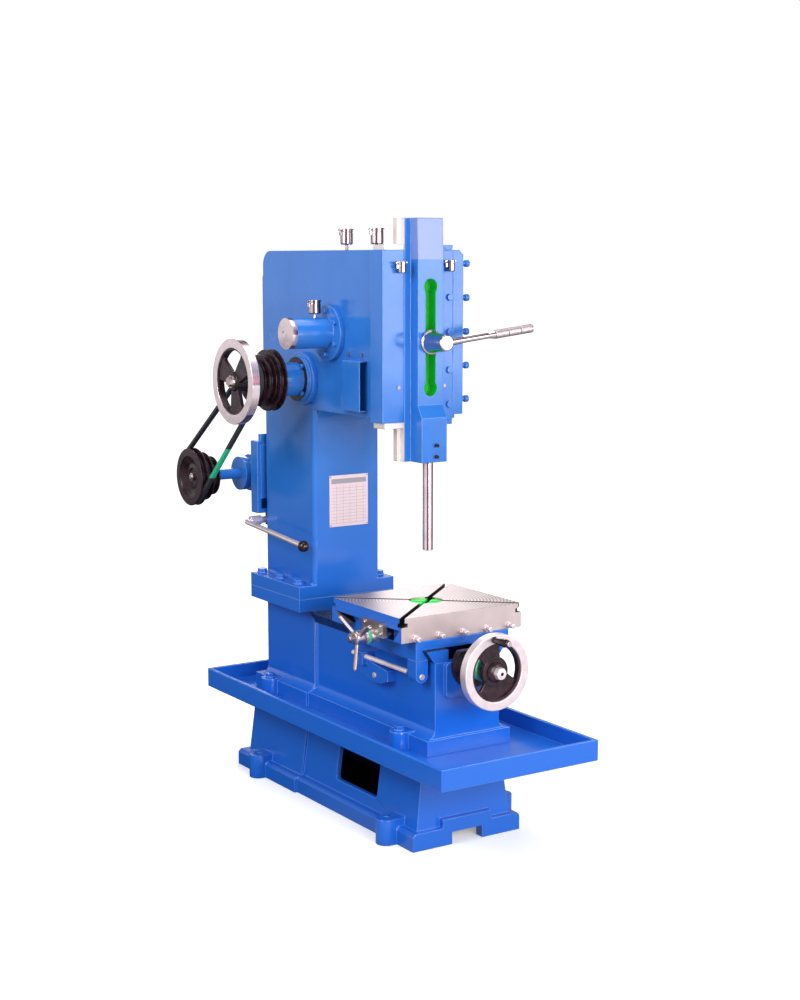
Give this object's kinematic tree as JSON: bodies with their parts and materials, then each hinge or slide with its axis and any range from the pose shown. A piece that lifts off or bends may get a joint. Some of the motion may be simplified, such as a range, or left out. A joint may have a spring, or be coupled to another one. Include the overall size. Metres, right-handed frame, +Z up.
{
  "type": "slotting machine",
  "caption": "Vertical slotting machine with reciprocating ram, cross-slide table, belt drive and chip tray on a cast base.",
  "frame": {"origin": "on the floor, at the centre of the rectangle of foundation bolt holes", "axes": "+Z up; +X to the operator's right; +Y from the operator's side towards the motor at the rear"},
  "size_m": [0.6365, 1.361, 1.631],
  "materials": {
    "blue_enamel": "glossy",
    "machined": "satin",
    "oiled_steel": "satin",
    "polished": "polished",
    "black_paint": "semi-gloss",
    "belt_rubber": "matte",
    "knob_plastic": "glossy",
    "slot_green": "glossy",
    "recess_green": "glossy",
    "dial_green": "satin",
    "plate_silver": "satin",
    "cast_steel": "rough"
  },
  "bodies": {
    "frame": {"base_casting": "blue_enamel", "chip_tray": "blue_enamel", "bed_casting": "blue_enamel", "bed_ways": "oiled_steel", "foot_bolts": "blue_enamel", "column_casting": "blue_enamel", "column_bolts": "blue_enamel", "rear_cover": "blue_enamel", "data_plate": "plate_silver", "side_cover": "blue_enamel", "small_screws": "machined", "slideway": "blue_enamel", "keeper_plate": "blue_enamel", "keeper_bolts": "blue_enamel", "ram_gib": "oiled_steel", "gib_screws": "blue_enamel", "crank_housing": "blue_enamel", "crank_cap": "polished", "drive_housing": "blue_enamel", "housing_bolts": "blue_enamel", "shaft_cover": "blue_enamel", "pivot_pin": "machined", "oil_cups": "polished", "v_belt": "belt_rubber", "stop_bracket": "blue_enamel", "feed_bearing": "black_paint"},
    "lid_top_rear": {"oil_lid_top_rear": "polished"},
    "lid_top_front": {"oil_lid_top_front": "polished"},
    "lid_boss": {"oil_lid_boss": "polished"},
    "lid_left": {"oil_lid_left": "polished"},
    "lid_right": {"oil_lid_right": "polished"},
    "ram": {"ram": "blue_enamel", "tool_bar": "polished", "tool_screws": "black_paint"},
    "stroke_block": {"stroke_block": "machined", "slot_strip": "slot_green"},
    "clamp_handle": {"clamp_handle": "polished"},
    "rocker": {"rocker": "cast_steel"},
    "bull_gear": {"bull_gear": "cast_steel"},
    "drive": {"drive_shaft": "machined", "drive_pulley": "black_paint", "flywheel": "black_paint"},
    "motor": {"motor_plate": "blue_enamel", "tension_lever": "machined", "motor": "blue_enamel"},
    "motor_pulley": {"motor_pulley": "black_paint"},
    "saddle": {"saddle": "blue_enamel", "saddle_gib": "oiled_steel", "saddle_ear": "blue_enamel", "stop_rod": "machined"},
    "table": {"table": "machined", "table_recess": "recess_green", "table_gib": "oiled_steel", "table_gib_screws": "machined", "cross_bearing": "machined"},
    "star_handle": {"star_handle": "machined"},
    "handwheel": {"handwheel": "black_paint", "feed_dial": "dial_green", "feed_screw": "oiled_steel"},
    "handwheel_grip": {"handwheel_grip": "knob_plastic"}
  },
  "joints": [
    {"name": "ram_slide", "type": "slide", "parent": "frame", "child": "ram", "axis": [0, 0, 1], "range_m": [-0.075, 0.075]},
    {"name": "rocker_pivot", "type": "hinge", "parent": "frame", "child": "rocker", "pos_m": [0, 0.38, 1.309], "axis": [1, 0, 0], "range_deg": [-8, 8]},
    {"name": "stroke_block_slide", "type": "slide", "parent": "ram", "child": "stroke_block", "axis": [0, 0, 1], "range_m": [-0.05, 0.06]},
    {"name": "clamp_turn", "type": "hinge", "parent": "stroke_block", "child": "clamp_handle", "pos_m": [0, -0.3, 1.309], "axis": [0, 1, 0], "range_deg": [-60, 60]},
    {"name": "drive_spin", "type": "hinge", "parent": "frame", "child": "drive", "pos_m": [-0.2, 0.198, 1.19], "axis": [1, 0, 0], "continuous": true},
    {"name": "bull_gear_spin", "type": "hinge", "parent": "frame", "child": "bull_gear", "pos_m": [-0.1, 0.05, 1.32452], "axis": [1, 0, 0], "continuous": true},
    {"name": "motor_tilt", "type": "hinge", "parent": "frame", "child": "motor", "pos_m": [0, 0.46, 0.752], "axis": [1, 0, 0], "range_deg": [0, 2]},
    {"name": "motor_spin", "type": "hinge", "parent": "motor", "child": "motor_pulley", "pos_m": [-0.2, 0.585, 0.88], "axis": [1, 0, 0], "continuous": true},
    {"name": "saddle_slide", "type": "slide", "parent": "frame", "child": "saddle", "axis": [0, 1, 0], "range_m": [-0.06, 0.09]},
    {"name": "handwheel_turn", "type": "hinge", "parent": "frame", "child": "handwheel", "pos_m": [0, -0.57, 0.4818], "axis": [0, 1, 0], "range_deg": [-4320, 6480]},
    {"name": "grip_spin", "type": "hinge", "parent": "handwheel", "child": "handwheel_grip", "pos_m": [-0.013, -0.61, 0.5698], "axis": [0, 1, 0], "continuous": true},
    {"name": "table_slide", "type": "slide", "parent": "saddle", "child": "table", "axis": [1, 0, 0], "range_m": [-0.1, 0.04]},
    {"name": "star_handle_turn", "type": "hinge", "parent": "table", "child": "star_handle", "pos_m": [-0.24, -0.309, 0.553], "axis": [1, 0, 0], "range_deg": [-7205, 2885]},
    {"name": "lid_top_rear_hinge", "type": "hinge", "parent": "frame", "child": "lid_top_rear", "pos_m": [-0.121, -0.015, 1.602], "axis": [0, -1, 0], "range_deg": [0, 100]},
    {"name": "lid_top_front_hinge", "type": "hinge", "parent": "frame", "child": "lid_top_front", "pos_m": [-0.121, -0.168, 1.602], "axis": [0, -1, 0], "range_deg": [0, 100]},
    {"name": "lid_boss_hinge", "type": "hinge", "parent": "frame", "child": "lid_boss", "pos_m": [-0.185, 0.05, 1.41082], "axis": [0, -1, 0], "range_deg": [0, 100]},
    {"name": "lid_left_hinge", "type": "hinge", "parent": "frame", "child": "lid_left", "pos_m": [-0.0945, -0.254, 1.5143], "axis": [0, -1, 0], "range_deg": [0, 100]},
    {"name": "lid_right_hinge", "type": "hinge", "parent": "frame", "child": "lid_right", "pos_m": [0.0605, -0.254, 1.5183], "axis": [0, -1, 0], "range_deg": [0, 100]}
  ],
  "couplings": [
    {"joint": "rocker_pivot", "follows": "ram_slide", "rad_per_m": -1.7241},
    {"joint": "bull_gear_spin", "follows": "drive_spin", "ratio": -0.25},
    {"joint": "motor_spin", "follows": "drive_spin", "ratio": 0.6667},
    {"joint": "saddle_slide", "follows": "handwheel_turn", "m_per_rad": 0.0007957},
    {"joint": "star_handle_turn", "follows": "table_slide", "rad_per_m": 1256.6}
  ]
}
